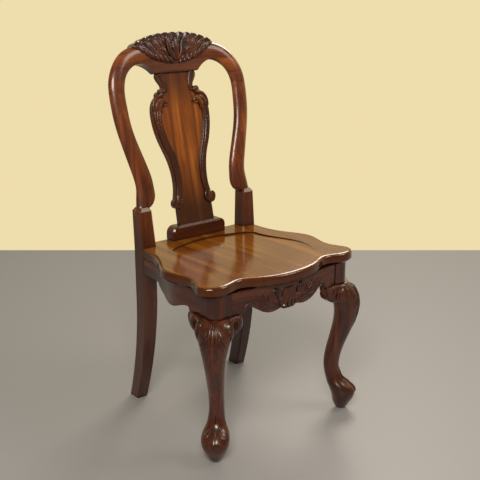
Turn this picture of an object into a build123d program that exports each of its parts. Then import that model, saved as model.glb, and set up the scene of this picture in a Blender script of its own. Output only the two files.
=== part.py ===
from build123d import *
import math
import os

# Side chair with cabriole front legs, a hooped back and a dished solid seat.
# Millimetres. The chair stands on Z = 0 and faces -Y; X runs across it.

# Seat
seat_height = 455.0          # floor to the flat border of the seat
seat_thickness = 27.0
seat_hip_half = 212.0        # half width where the sides begin to swell
seat_hip_y = 16.0
seat_bulge_half = 245.0      # half width at the swell of the sides
seat_bulge_y = -65.0
seat_waist_half = 231.0      # half width at the dip behind the front corners
seat_waist_y = -157.0
seat_lobe_half = 247.0       # half width at the rounded front corners
seat_lobe_y = -212.0
seat_dip_half = 155.0        # where the front edge dips beside the corner
seat_dip_y = -231.0
seat_front_y = -268.0        # tip of the bow in the front edge
seat_back_y = 150.0
seat_top_round = 9.0
seat_under_chamfer = 6.0
seat_stile_margin = 2.0      # seat edge outside the stile it meets
dish_depth = 5.0
dish_back_y = 99.0
dish_back_half = 140.0
dish_side_half = 178.0
dish_fade_y = -185.0         # the dish runs out to nothing here

# Rear legs and stiles
stile_inner_half = 148.5
stile_width = 43.5
stile_depth = 44.0
stile_front_y = 116.0
stile_chamfer = 3.5
foot_width = 33.0
foot_depth = 43.0
foot_sweep = 49.0            # how far the rear foot stands behind the stile
foot_splay = 2.0             # the same, outwards
sweep_height = 300.0         # where the sweep of the rear leg begins
break_rise = 97.0            # seat to the shoulder where the stile turns into the hoop
break_lean = 8.0             # set-back of the shoulder behind the stile at the seat
break_taper = 5.5            # how much narrower the stile is at the shoulder
break_depth = 40.0
shoulder_chamfer = 6.0

# Hoop of the back
joint_rise = 298.0           # shoulder to the joint under the crest rail
hoop_half = 198.5            # centre of the hoop at that joint
hoop_waist_half = 155.0      # centre of the hoop at its narrowest, above the shoulder
hoop_depth = 28.0
lean_low = 0.17              # set-back per unit of height, just above the shoulder
lean_high = 0.225            # the same at the crest, also the lean of the splat

# Crest rail
crown_half = 110.0           # where the shoulder curve levels out
crown_rise = 98.0
crest_bow = 17.0             # how far the middle of the crest bends backwards
crown_half_height = 24.5
middle_half_height = 33.0
middle_drop = 15.0           # centre line of the middle below the crown
tongue_half = 69.0
tongue_rise = 46.5           # tongue underside above the joint, along the lean
tongue_flare = 47.0          # the tongue widens by this much as it meets the arch
tongue_flank = 28.0          # height over which it does so
tongue_round = 4.0
shell_half = 129.0
shell_low = 71.0             # lowest point of the shell, along the lean
shell_end = 119.0
shell_top = 148.0
shell_relief = 2.0           # shell in front of the rail
shell_backing = 1.5          # shell behind the rail
shell_rays = 11
lobe_rise = 4.5              # rounded end of each ray beyond the shell's edge
ray_root_half = 3.5          # half width of a ray at its root
ray_height = 4.0

# Splat and shoe
splat_thickness = 14.0
splat_foot_half = 58.0
splat_waist_half = 54.5
splat_vase_half = 93.0
splat_neck_half = 50.0
splat_top_half = 62.0
splat_scroll_half = 69.5
splat_band_width = 25.0
splat_band_edge = 3.0        # plain margin outside a band
splat_band_relief = 4.0
shoe_half = 90.0
shoe_height = 37.0
shoe_depth = 31.0
shoe_overhang = 4.0          # back of the shoe behind the back edge of the seat
shoe_corner = 20.0
shoe_chamfer = 4.0
shoe_splat_inset = 19.0      # splat centre behind the front of the shoe, at the shoe's top

# Front legs
leg_inset = 48.0             # leg axis inside the rounded corner of the seat, across
leg_set_back = 4.0           # leg axis behind the widest point of that corner
post_size = 54.0
post_round = 30.0            # outer corner of the post

# Rails
rail_depth = 58.0            # underside of the seat to the rails' lower edge at the front legs
rail_thickness = 22.0
rail_set_back = 2.0          # rails inside the faces of the front posts
front_bow = 12.0
apron_peak = 19.0            # rise of the apron's lower edge beside the knee blocks
apron_drop = 15.0            # fall of its middle below the ends
apron_shell_rise = 38.0      # root of the apron's shell above its lower edge
apron_shell_radius = 34.0
side_overhang = 19.0         # seat edge outside the side rail, at the swell
side_drop = 13.0             # fall of the side rail's lower edge below its front end
side_peak = 9.0              # its rise just behind the knee block
side_rear_rise = 15.0        # its rise at the rear leg
rear_rail_depth = 48.0
rear_rail_set_back = 4.0     # rear rail inside the back edge of the seat
tenon_thickness = 10.0
tenon_length = 16.0
tenon_height = 30.0
tenon_clearance = 0.2

# Blocks, loose tenons and the shoe's tongue
front_knee_reach = 33.0      # how far a knee block runs along the front rail
side_knee_reach = 44.0       # the same along a side rail
side_knee_bulge = 6.0        # bulge of its end below the side rail
knee_block_drop = 46.0
knee_swell = 22.0            # front of a knee block beyond the post, at the leg
knee_block_round = 10.0      # the roll along its upper front edge
corner_block_height = 28.0
front_block_reach = 92.0     # how far a corner block runs along its rails, from the leg
rear_block_reach = 58.0
crest_tenon_width = 20.0
crest_tenon_thickness = 9.0
crest_tenon_length = 44.0
shoe_tongue_half = 72.0
shoe_tongue_depth = 10.0
shoe_tongue_drop = 8.0       # how far the shoe's tongue goes into the seat
fit_clearance = 0.1

# Heights and places that follow from the sizes above
seat_under = seat_height - seat_thickness
knee_top = seat_under - rail_depth
break_height = seat_height + break_rise
joint_height = break_height + joint_rise
stile_outer_half = stile_inner_half + stile_width
stile_back_y = stile_front_y + stile_depth
leg_x = seat_lobe_half - leg_inset
leg_y = seat_lobe_y + leg_set_back
post_inner_x = leg_x - post_size / 2
post_outer_x = leg_x + post_size / 2
post_front_y = leg_y - post_size / 2
post_rear_y = leg_y + post_size / 2
seat_rear_half = stile_outer_half + seat_stile_margin
tenon_level = seat_under - rail_depth / 2 + 6
mortise_length = tenon_length + tenon_clearance
mortise_thickness = tenon_thickness + 2 * tenon_clearance
mortise_height = tenon_height + 2 * tenon_clearance

os.makedirs("parts", exist_ok=True)


def back_y(rise):
    """Centre of the hoop in Y at a height above the shoulder."""
    bend = (lean_high - lean_low) / (2 * joint_rise)
    return stile_front_y + break_lean + break_depth / 2 + lean_low * rise + bend * rise**2


lean = math.atan(lean_high)
lean_up = Vector(0, math.sin(lean), math.cos(lean))
lean_front = Vector(0, -math.cos(lean), math.sin(lean))
joint_y = back_y(joint_rise)
crest_plane = Plane(origin=(0, joint_y, joint_height), x_dir=(1, 0, 0), z_dir=lean_front)


# Seat panel: one board with a serpentine outline, a rounded edge, notches for the stiles
# and a shallow dish that runs out towards the front.
shoe_back_y = seat_back_y + shoe_overhang
shoe_y = shoe_back_y - shoe_depth / 2

with BuildPart() as seat_panel:
    with BuildSketch(Plane.XY.offset(seat_under)):
        with BuildLine():
            Spline(
                (seat_rear_half, stile_front_y),
                (seat_hip_half, seat_hip_y),
                (seat_bulge_half, seat_bulge_y),
                (seat_waist_half, seat_waist_y),
                (seat_lobe_half, seat_lobe_y),
                (seat_lobe_half - 42, seat_lobe_y - 30),
                (seat_dip_half, seat_dip_y),
                (0, seat_front_y),
                tangents=[(0, -1), (-1, 0)],
            )
            Polyline(
                (seat_rear_half, stile_front_y),
                (stile_inner_half, stile_front_y),
                (stile_inner_half, seat_back_y),
                (0, seat_back_y),
            )
            mirror(about=Plane.YZ)
        make_face()
    extrude(amount=seat_thickness)
    moulded = seat_panel.edges().filter_by(GeomType.BSPLINE)
    fillet(moulded.group_by(Axis.Z)[-1], radius=seat_top_round)
    moulded = seat_panel.edges().filter_by(GeomType.BSPLINE)
    chamfer(moulded.group_by(Axis.Z)[0], length=seat_under_chamfer)
    dish_slope = math.atan(dish_depth / (dish_back_y - dish_fade_y))
    dish_plane = Plane(
        origin=(0, dish_fade_y, seat_height),
        x_dir=(1, 0, 0),
        z_dir=(0, math.sin(dish_slope), math.cos(dish_slope)),
    )
    dish_length = dish_back_y - dish_fade_y
    with BuildSketch(dish_plane):
        with BuildLine():
            Spline(
                (0, dish_length),
                (dish_back_half * 0.68, dish_length - 17),
                (dish_back_half, dish_length - 46),
                tangents=[(1, 0), (0.5, -1)],
            )
            Spline(
                (dish_back_half, dish_length - 46),
                (dish_back_half + 12, dish_length - 105),
                (dish_side_half, dish_length - 205),
                (dish_side_half - 18, dish_length - 258),
                tangents=[(0, -1), (-0.6, -1)],
            )
            Polyline((dish_side_half - 18, dish_length - 258), (dish_side_half - 18, -4), (0, -4))
            mirror(about=Plane.YZ)
        make_face()
    extrude(amount=dish_depth * 3, mode=Mode.SUBTRACT)
    with Locations((0, shoe_y, seat_height)):
        Box(
            2 * (shoe_tongue_half + fit_clearance),
            shoe_tongue_depth + 2 * fit_clearance,
            shoe_tongue_drop + fit_clearance,
            align=(Align.CENTER, Align.CENTER, Align.MAX),
            mode=Mode.SUBTRACT,
        )


# Rear leg and stile in one piece: a square leg swept back at the foot, with broken edges,
# that turns above a shoulder into the rounded hoop of the back.
break_front_y = stile_front_y + break_lean
side_rail_rear_x = stile_outer_half - rail_set_back - rail_thickness / 2
rear_rail_y = seat_back_y - rear_rail_set_back - rail_thickness / 2

# Hoop stations: share of the height up to the joint, swing towards the widest point
# (0 at the narrowest, 1 at the joint) and half width.
hoop_stations = [
    (-0.06, 0.40, 15.0),
    (0.02, 0.28, 22.5),
    (0.06, 0.11, 27.0),
    (0.11, 0.03, 28.5),
    (0.18, 0.00, 26.5),
    (0.26, 0.05, 26.0),
    (0.36, 0.22, 25.5),
    (0.50, 0.50, 24.0),
    (0.65, 0.78, 22.5),
    (0.80, 0.95, 22.5),
    (0.92, 1.00, 22.5),
    (1.00, 1.00, 22.5),
]

def leg_section(level, front, inner, width, depth):
    """Square of the rear leg with its corners cut, on a level plane."""
    with BuildSketch(Plane.XY.offset(level)) as section:
        with Locations((inner, front)):
            square = Rectangle(width, depth, align=(Align.MIN, Align.MIN))
        chamfer(square.vertices(), stile_chamfer)
    return section.sketch


sweep_sections = []
for step in range(5):
    straight = step / 4
    width = foot_width + (stile_width - foot_width) * straight
    sweep_sections.append(leg_section(
        sweep_height * straight,
        stile_front_y + foot_sweep * (1 - straight) ** 2,
        stile_outer_half + foot_splay * (1 - straight) - width,
        width,
        foot_depth + (stile_depth - foot_depth) * straight,
    ))
seat_section = leg_section(seat_height, stile_front_y, stile_inner_half, stile_width, stile_depth)
break_inner = stile_inner_half + break_taper
break_width = stile_width - break_taper
break_section = leg_section(break_height, break_front_y, break_inner, break_width, break_depth)
shoulder_section = leg_section(
    break_height + 1.5 * shoulder_chamfer,
    break_front_y + shoulder_chamfer,
    break_inner + shoulder_chamfer,
    break_width - 2 * shoulder_chamfer,
    break_depth - 2 * shoulder_chamfer,
)

with BuildPart() as rear_leg_right:
    loft(sweep_sections)
    extrude(sweep_sections[-1], amount=seat_height - sweep_height)
    loft([seat_section, break_section, shoulder_section], ruled=True)
    for share, swing, half_width in hoop_stations:
        rise = share * joint_rise
        slope = lean_low + (lean_high - lean_low) * share
        swing_x = hoop_waist_half + (hoop_half - hoop_waist_half) * swing
        station = Plane(
            origin=(swing_x, back_y(rise), break_height + rise),
            x_dir=(1, 0, 0),
            z_dir=(0, slope, 1),
        )
        with BuildSketch(station):
            Ellipse(half_width, hoop_depth / 2)
    loft()
    with BuildSketch(Plane(origin=(hoop_half, joint_y, joint_height), x_dir=(1, 0, 0), z_dir=lean_up)):
        Rectangle(crest_tenon_width + 2 * fit_clearance, crest_tenon_thickness + 2 * fit_clearance)
    extrude(amount=-(crest_tenon_length / 2 + fit_clearance), mode=Mode.SUBTRACT)
    with Locations((side_rail_rear_x, stile_front_y, tenon_level)):
        Box(
            mortise_thickness, mortise_length, mortise_height,
            align=(Align.CENTER, Align.MIN, Align.CENTER), mode=Mode.SUBTRACT,
        )
    with Locations((stile_inner_half, rear_rail_y, tenon_level)):
        Box(
            mortise_length, mortise_thickness, mortise_height,
            align=(Align.MIN, Align.CENTER, Align.CENTER), mode=Mode.SUBTRACT,
        )

with BuildPart() as rear_leg_left:
    mirror(rear_leg_right.part, about=Plane.YZ)


# Crest rail: the shoulders of the hoop meet over the splat in a tongue that carries a
# carved shell. The whole rail is bent backwards in the middle.
def crest_set_back(x):
    """Depth of the backward bend of the crest at a distance from the middle."""
    return crest_bow * (1 - (x / hoop_half) ** 2)


def crest_point(x, up, front=0.0):
    """Point of the bent crest: across, up the lean, and forward of its middle surface."""
    return crest_plane.from_local_coords(Vector(x, up, front - crest_set_back(x)))


def crest_station(x, up, turn):
    """Section plane across the rail; turn is the angle of its width from level."""
    across = Vector(math.cos(turn), 0, 0) + lean_up * math.sin(turn)
    along = Vector(-math.sin(turn), 0, 0) + lean_up * math.cos(turn)
    return Plane(origin=crest_point(x, up), x_dir=across, z_dir=along)


crest_stations = []
for degrees in (0, 8, 22.5, 45, 67.5, 90):
    sweep = math.radians(degrees)
    reach = hoop_half - crown_half
    crest_stations.append((
        crown_half + reach * math.cos(sweep),
        crown_rise * math.sin(sweep),
        math.atan2(reach * math.sin(sweep), crown_rise * math.cos(sweep)),
        hoop_stations[-1][2] + (crown_half_height - hoop_stations[-1][2]) * degrees / 90,
    ))
for share in (0.35, 0.7, 1.0):
    ease = (1 - math.cos(math.pi * share)) / 2
    crest_stations.append((
        crown_half * (1 - share),
        crown_rise - middle_drop * ease,
        math.radians(90),
        crown_half_height + (middle_half_height - crown_half_height) * ease,
    ))

shell_front = hoop_depth / 2 + shell_relief
lobe_width = 2 * shell_half / shell_rays
splat_base_y = shoe_back_y - shoe_depth + shoe_splat_inset
splat_origin = Vector(0, splat_base_y, seat_height + shoe_height)
splat_plane = Plane(origin=splat_origin, x_dir=(1, 0, 0), z_dir=lean_front)
splat_length = tongue_rise + lean_up.dot(Vector(0, joint_y, joint_height) - splat_origin)
splat_tenon_half = splat_top_half - 14
splat_tenon_thickness = splat_thickness - 4
splat_tenon_length = 14.0


def shell_edge(x):
    """Height of the shell's upper edge, along the lean."""
    return shell_end + (shell_top - shell_end) * (1 - abs(x / shell_half) ** 2.6)


def shell_base(x):
    """Height of the shell's lower edge, along the lean."""
    return shell_end - (shell_end - shell_low) * (1 - (x / shell_half) ** 2)


def ray_section(place, along, front, half_width, height):
    """Roof-shaped section of a carved ray, standing on the face that it is carved from."""
    with BuildSketch(Plane(origin=place, x_dir=front.cross(along), z_dir=along)) as section:
        with BuildLine():
            Polyline(
                (-half_width, -2),
                (half_width, -2),
                (half_width, 0),
                (0.5 * half_width, height),
                (-0.5 * half_width, height),
                (-half_width, 0),
                close=True,
            )
        make_face()
    return section.sketch


with BuildPart() as tongue:
    with BuildSketch(crest_plane.offset(-crest_bow)):
        with BuildLine():
            ThreePointArc(
                (tongue_half, tongue_rise),
                (tongue_half + 0.34 * tongue_flare, tongue_rise + 0.54 * tongue_flank),
                (tongue_half + tongue_flare, tongue_rise + tongue_flank),
            )
            Polyline(
                (tongue_half + tongue_flare, tongue_rise + tongue_flank),
                (tongue_half + tongue_flare, crown_rise),
                (0, crown_rise),
            )
            Line((0, tongue_rise), (tongue_half, tongue_rise))
            mirror(about=Plane.YZ)
        make_face()
    extrude(amount=hoop_depth / 2 - 0.5, both=True)
    for face in (tongue.faces().sort_by(Axis(origin=(0, 0, 0), direction=lean_front))[i] for i in (0, -1)):
        fillet(face.edges().sort_by(Axis(origin=(0, 0, 0), direction=lean_up))[0], tongue_round)

with BuildPart() as crest_rail:
    for x, up, turn, half_width in crest_stations:
        with BuildSketch(crest_station(x, up, turn)):
            Ellipse(half_width, hoop_depth / 2)
    loft()
    mirror(about=Plane.YZ)
    add(tongue.part)
    with BuildSketch(crest_plane.offset(-crest_bow - hoop_depth / 2 - shell_backing)):
        with BuildLine():
            for lobe in range(shell_rays):
                start_x = lobe_width * lobe - shell_half
                middle_x = start_x + lobe_width / 2
                end_x = start_x + lobe_width
                ThreePointArc(
                    (start_x, shell_edge(start_x)),
                    (middle_x, shell_edge(middle_x) + lobe_rise),
                    (end_x, shell_edge(end_x)),
                )
            ThreePointArc((-shell_half, shell_end), (0, shell_low), (shell_half, shell_end))
        make_face()
    extrude(amount=hoop_depth / 2 + shell_backing + shell_front)
    for lobe in range(shell_rays):
        tip_x = lobe_width * (lobe + 0.5) - shell_half
        root_x = tip_x * 0.45
        root = crest_plane.from_local_coords((root_x, shell_base(root_x) + 3, shell_front - crest_bow))
        tip = crest_plane.from_local_coords((tip_x, shell_edge(tip_x) + 1, shell_front - crest_bow))
        along = tip - root
        loft(
            [
                ray_section(root, along, lean_front, ray_root_half, 0.5 * ray_height),
                ray_section(tip, along, lean_front, 0.4 * lobe_width, ray_height),
            ],
            ruled=True,
        )
    with BuildSketch(splat_plane.offset(-splat_tenon_thickness / 2 - tenon_clearance)):
        with Locations((0, splat_length)):
            Rectangle(
                2 * (splat_tenon_half + tenon_clearance), splat_tenon_length + tenon_clearance,
                align=(Align.CENTER, Align.MIN),
            )
    extrude(amount=splat_tenon_thickness + 2 * tenon_clearance, mode=Mode.SUBTRACT)
    for side in (-1, 1):
        joint = Plane(origin=(side * hoop_half, joint_y, joint_height), x_dir=(1, 0, 0), z_dir=lean_up)
        with BuildSketch(joint):
            Rectangle(crest_tenon_width + 2 * fit_clearance, crest_tenon_thickness + 2 * fit_clearance)
        extrude(amount=crest_tenon_length / 2 + fit_clearance, mode=Mode.SUBTRACT)


# Splat: a leaning vase-shaped board with raised scrolled bands along its edges, tenoned
# into the shoe and into the crest.
def up_splat(share):
    """Distance up the splat as a share of its length between shoe and tongue."""
    return splat_length * share


with BuildPart() as splat:
    with BuildSketch(splat_plane.offset(-splat_thickness / 2)):
        with BuildLine():
            Polyline(
                (0, up_splat(-0.04)),
                (splat_foot_half, up_splat(-0.04)),
                (splat_foot_half - 1, up_splat(0.108)),
            )
            ThreePointArc(
                (splat_foot_half - 1, up_splat(0.108)),
                (splat_scroll_half, up_splat(0.138)),
                (splat_scroll_half - 8, up_splat(0.173)),
            )
            Spline(
                (splat_scroll_half - 8, up_splat(0.173)),
                (splat_waist_half, up_splat(0.265)),
                (splat_waist_half + 8, up_splat(0.43)),
                (splat_vase_half - 10, up_splat(0.57)),
                (splat_vase_half, up_splat(0.706)),
                (splat_vase_half - 6, up_splat(0.81)),
                (splat_vase_half - 20, up_splat(0.85)),
            )
            ThreePointArc(
                (splat_vase_half - 20, up_splat(0.85)),
                (splat_vase_half - 24, up_splat(0.877)),
                (splat_neck_half + 10, up_splat(0.885)),
            )
            Spline(
                (splat_neck_half + 10, up_splat(0.885)),
                (splat_neck_half, up_splat(0.908)),
                (splat_top_half, up_splat(0.965)),
                (splat_top_half - 1, up_splat(1.0)),
            )
            Line((splat_top_half - 1, up_splat(1.0)), (0, up_splat(1.0)))
            mirror(about=Plane.YZ)
        make_face()
    extrude(amount=splat_thickness)
    with BuildSketch(splat_plane.offset(splat_thickness / 2)):
        with BuildLine():
            Spline(
                (splat_scroll_half - 8 - splat_band_edge, up_splat(0.173)),
                (splat_waist_half - splat_band_edge, up_splat(0.265)),
                (splat_waist_half + 8 - splat_band_edge, up_splat(0.43)),
                (splat_vase_half - 10 - splat_band_edge, up_splat(0.57)),
                (splat_vase_half - splat_band_edge, up_splat(0.706)),
                (splat_vase_half - 6 - splat_band_edge, up_splat(0.81)),
                (splat_vase_half - 20 - splat_band_edge, up_splat(0.845)),
            )
            Polyline(
                (splat_vase_half - 20 - splat_band_edge, up_splat(0.845)),
                (splat_vase_half - splat_band_width - 14, up_splat(0.835)),
                (splat_vase_half - splat_band_width - 4, up_splat(0.79)),
            )
            Spline(
                (splat_vase_half - splat_band_width - 4, up_splat(0.79)),
                (splat_vase_half - splat_band_width, up_splat(0.706)),
                (splat_vase_half - splat_band_width - 9, up_splat(0.57)),
                (splat_waist_half + 10 - splat_band_width, up_splat(0.43)),
                (splat_waist_half + 4 - splat_band_width, up_splat(0.285)),
                (splat_scroll_half - 2 - splat_band_width, up_splat(0.173)),
            )
            Line(
                (splat_scroll_half - 2 - splat_band_width, up_splat(0.173)),
                (splat_scroll_half - 8 - splat_band_edge, up_splat(0.173)),
            )
        make_face()
        mirror(about=Plane.YZ)
    extrude(amount=splat_band_relief)
    with BuildSketch(splat_plane):
        for side in (-1, 1):
            with Locations((side * (splat_scroll_half - 14), up_splat(0.143))):
                Circle(13)
            with Locations((side * (splat_vase_half - 20), up_splat(0.81))):
                Circle(14)
            with Locations((side * (splat_neck_half + 6), up_splat(0.88))):
                Circle(9)
            with Locations((side * (splat_neck_half + 1), up_splat(0.81))):
                Circle(9)
    extrude(amount=splat_thickness / 2 + splat_band_relief + 2)
    with Locations((0, splat_base_y, seat_height + shoe_height)):
        Box(
            4 * splat_vase_half, 4 * splat_thickness, splat_length,
            align=(Align.CENTER, Align.CENTER, Align.MAX), mode=Mode.SUBTRACT,
        )
    with BuildSketch(splat_plane.offset(-splat_tenon_thickness / 2)):
        with Locations((0, splat_length)):
            Rectangle(2 * splat_tenon_half, splat_tenon_length, align=(Align.CENTER, Align.MIN))
        with Locations((0, splat_tenon_thickness)):
            Rectangle(
                2 * splat_tenon_half, splat_tenon_length + splat_tenon_thickness,
                align=(Align.CENTER, Align.MAX),
            )
    extrude(amount=splat_tenon_thickness)


# Shoe: the block that receives the foot of the splat.
with BuildPart() as splat_shoe:
    with BuildSketch(Plane.XZ.offset(-shoe_back_y)):
        with BuildLine():
            Line((-shoe_half, seat_height), (shoe_half, seat_height))
            Line((shoe_half, seat_height), (shoe_half, seat_height + shoe_height - shoe_corner))
            RadiusArc(
                (shoe_half, seat_height + shoe_height - shoe_corner),
                (shoe_half - shoe_corner, seat_height + shoe_height),
                -shoe_corner,
            )
            Line(
                (shoe_half - shoe_corner, seat_height + shoe_height),
                (shoe_corner - shoe_half, seat_height + shoe_height),
            )
            RadiusArc(
                (shoe_corner - shoe_half, seat_height + shoe_height),
                (-shoe_half, seat_height + shoe_height - shoe_corner),
                -shoe_corner,
            )
            Line((-shoe_half, seat_height + shoe_height - shoe_corner), (-shoe_half, seat_height))
        make_face()
    extrude(amount=shoe_depth)
    front_top = splat_shoe.faces().sort_by(Axis.Y)[0].edges().filter_by(
        lambda e: e.center().Z > seat_height + 1
    )
    chamfer(front_top, length=shoe_chamfer)
    with BuildSketch(splat_plane.offset(-splat_tenon_thickness / 2 - tenon_clearance)):
        with Locations((0, splat_tenon_thickness * 2)):
            Rectangle(
                2 * (splat_tenon_half + tenon_clearance),
                splat_tenon_length + 2 * splat_tenon_thickness + tenon_clearance,
                align=(Align.CENTER, Align.MAX),
            )
    extrude(amount=splat_tenon_thickness + 2 * tenon_clearance, mode=Mode.SUBTRACT)
    with Locations((0, shoe_y, seat_height)):
        Box(
            2 * shoe_tongue_half, shoe_tongue_depth, shoe_tongue_drop,
            align=(Align.CENTER, Align.CENTER, Align.MAX),
        )


# Front leg: a cabriole leg under a square post with a rounded outer corner.
# Stations: share of the knee height, offset outwards along the diagonal, half depth, half width.
leg_stations = [
    (0.000, 23.0, 9.0, 9.0),
    (0.014, 26.5, 15.5, 14.0),
    (0.050, 27.5, 23.0, 23.0),
    (0.115, 31.0, 32.0, 33.0),
    (0.157, 28.5, 34.5, 35.5),
    (0.200, 19.0, 31.5, 32.5),
    (0.245, 6.0, 23.5, 24.5),
    (0.320, -2.5, 21.0, 19.7),
    (0.441, 0.0, 22.0, 19.8),
    (0.600, 16.5, 26.0, 23.5),
    (0.750, 30.0, 31.0, 29.5),
    (0.838, 30.0, 34.5, 36.5),
    (0.930, 16.5, 40.5, 43.0),
    (1.000, -3.0, 34.0, 36.0),
]
outwards = Vector(1, -1, 0).normalized()
front_rail_tenon_y = post_front_y + rail_set_back + rail_thickness / 2
side_rail_tenon_x = post_outer_x - rail_set_back - rail_thickness / 2

with BuildPart() as front_leg_right:
    for share, offset_out, half_depth, half_width in leg_stations:
        centre = Vector(leg_x, leg_y, knee_top * share) + outwards * offset_out
        with BuildSketch(Plane(origin=centre, x_dir=outwards, z_dir=(0, 0, 1))):
            Ellipse(half_depth, half_width)
    loft()
    with BuildSketch(Plane.XY.offset(knee_top)):
        with Locations((leg_x, leg_y)):
            post_outline = Rectangle(post_size, post_size)
        fillet(post_outline.vertices().sort_by(Axis(origin=(0, 0, 0), direction=outwards))[-1], post_round)
    extrude(amount=rail_depth)
    with Locations((post_inner_x, front_rail_tenon_y, tenon_level)):
        Box(
            mortise_length, mortise_thickness, mortise_height,
            align=(Align.MIN, Align.CENTER, Align.CENTER), mode=Mode.SUBTRACT,
        )
    with Locations((side_rail_tenon_x, post_rear_y, tenon_level)):
        Box(
            mortise_thickness, mortise_length, mortise_height,
            align=(Align.CENTER, Align.MAX, Align.CENTER), mode=Mode.SUBTRACT,
        )

with BuildPart() as front_leg_left:
    mirror(front_leg_right.part, about=Plane.YZ)


# Front rail: bowed in plan, with a scalloped lower edge and a carved shell in the middle.
front_rail_y = post_front_y + rail_set_back
apron_low = knee_top - apron_drop
block_end_x = post_inner_x - front_knee_reach

with BuildPart() as front_rail:
    with BuildSketch(Plane.XY.offset(apron_low)):
        with BuildLine():
            ThreePointArc(
                (-post_inner_x, front_rail_y), (0, front_rail_y - front_bow), (post_inner_x, front_rail_y)
            )
            Line((post_inner_x, front_rail_y), (post_inner_x, front_rail_y + rail_thickness))
            ThreePointArc(
                (post_inner_x, front_rail_y + rail_thickness),
                (0, front_rail_y + rail_thickness - front_bow),
                (-post_inner_x, front_rail_y + rail_thickness),
            )
            Line((-post_inner_x, front_rail_y + rail_thickness), (-post_inner_x, front_rail_y))
        make_face()
    extrude(amount=seat_under - apron_low)
    with BuildSketch(Plane.XZ):
        with BuildLine():
            Polyline((0, seat_under), (post_inner_x, seat_under), (post_inner_x, knee_top), (block_end_x, knee_top))
            Spline(
                (block_end_x, knee_top),
                (block_end_x * 0.96, knee_top + 0.7 * apron_peak),
                (block_end_x * 0.88, knee_top + apron_peak),
                (block_end_x * 0.76, knee_top + 0.55 * apron_peak),
                (block_end_x * 0.60, apron_low + 9),
                (block_end_x * 0.38, apron_low + 1),
                (block_end_x * 0.19, apron_low + 7),
            )
            ThreePointArc(
                (block_end_x * 0.19, apron_low + 7), (block_end_x * 0.11, apron_low + 1), (0, apron_low)
            )
            mirror(about=Plane.YZ)
        make_face()
    extrude(amount=-2 * post_front_y, mode=Mode.INTERSECT)
    for ray in range(7):
        spread = math.radians(-75 + 25 * ray)
        along = Vector(math.sin(spread), 0, -math.cos(spread))
        root = Vector(0, front_rail_y - front_bow, apron_low + apron_shell_rise)
        loft(
            [
                ray_section(root + along * 6, along, Vector(0, -1, 0), 1.5, 2),
                ray_section(root + along * apron_shell_radius, along, Vector(0, -1, 0), 6.5, ray_height),
            ],
            ruled=True,
        )
    for side in (-1, 1):
        with Locations((side * post_inner_x, front_rail_tenon_y, tenon_level)):
            Box(
                2 * tenon_length, tenon_thickness, tenon_height,
                align=(Align.CENTER, Align.CENTER, Align.CENTER),
            )


# Side rail: serpentine in plan like the seat above it, with a stepped lower edge.
side_rail_front_x = post_outer_x - rail_set_back
side_rail_rear_outer = stile_outer_half - rail_set_back
side_bulge_x = seat_bulge_half - side_overhang
side_low = knee_top - side_drop
side_rear_low = knee_top + side_rear_rise
side_block_end_y = post_rear_y + side_knee_reach
step_y = (stile_front_y + seat_bulge_y) / 2 + 16

with BuildPart() as side_rail_right:
    with BuildSketch(Plane.XY.offset(side_low)):
        with BuildLine():
            for inset in (0, rail_thickness):
                Spline(
                    (side_rail_rear_outer - inset, stile_front_y),
                    (seat_hip_half - 0.6 * side_overhang - inset, seat_hip_y),
                    (side_bulge_x - 2 - inset, seat_bulge_y),
                    (side_bulge_x + 1 - inset, seat_bulge_y - 38),
                    (side_rail_front_x - inset, post_rear_y),
                    tangents=[(0, -1), (0, -1)],
                )
            Line((side_rail_rear_outer, stile_front_y), (side_rail_rear_outer - rail_thickness, stile_front_y))
            Line((side_rail_front_x, post_rear_y), (side_rail_front_x - rail_thickness, post_rear_y))
        make_face()
    extrude(amount=seat_under - side_low)
    with BuildSketch(Plane.YZ):
        with BuildLine():
            Polyline(
                (side_block_end_y, knee_top),
                (post_rear_y, knee_top),
                (post_rear_y, seat_under),
                (stile_front_y, seat_under),
                (stile_front_y, side_rear_low),
                (step_y, side_rear_low),
            )
            Spline(
                (step_y, side_rear_low),
                (step_y - 31, knee_top - 3),
                (step_y - 73, side_low),
                (side_block_end_y + 58, knee_top - 6),
                (side_block_end_y + 13, knee_top + side_peak),
                (side_block_end_y, knee_top),
                tangents=[(-0.5, -1), (0, -1)],
            )
        make_face()
    extrude(amount=2 * seat_bulge_half, mode=Mode.INTERSECT)
    with Locations((side_rail_tenon_x, post_rear_y, tenon_level)):
        Box(tenon_thickness, 2 * tenon_length, tenon_height)
    with Locations((side_rail_rear_x, stile_front_y, tenon_level)):
        Box(tenon_thickness, 2 * tenon_length, tenon_height)

with BuildPart() as side_rail_left:
    mirror(side_rail_right.part, about=Plane.YZ)


# Rear rail: a plain straight rail under the back edge of the seat.
with BuildPart() as rear_rail:
    with Locations((0, rear_rail_y, seat_under)):
        Box(
            2 * stile_inner_half, rail_thickness, rear_rail_depth,
            align=(Align.CENTER, Align.CENTER, Align.MAX),
        )
    with Locations((0, rear_rail_y, tenon_level)):
        Box(2 * (stile_inner_half + tenon_length), tenon_thickness, tenon_height)


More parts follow.
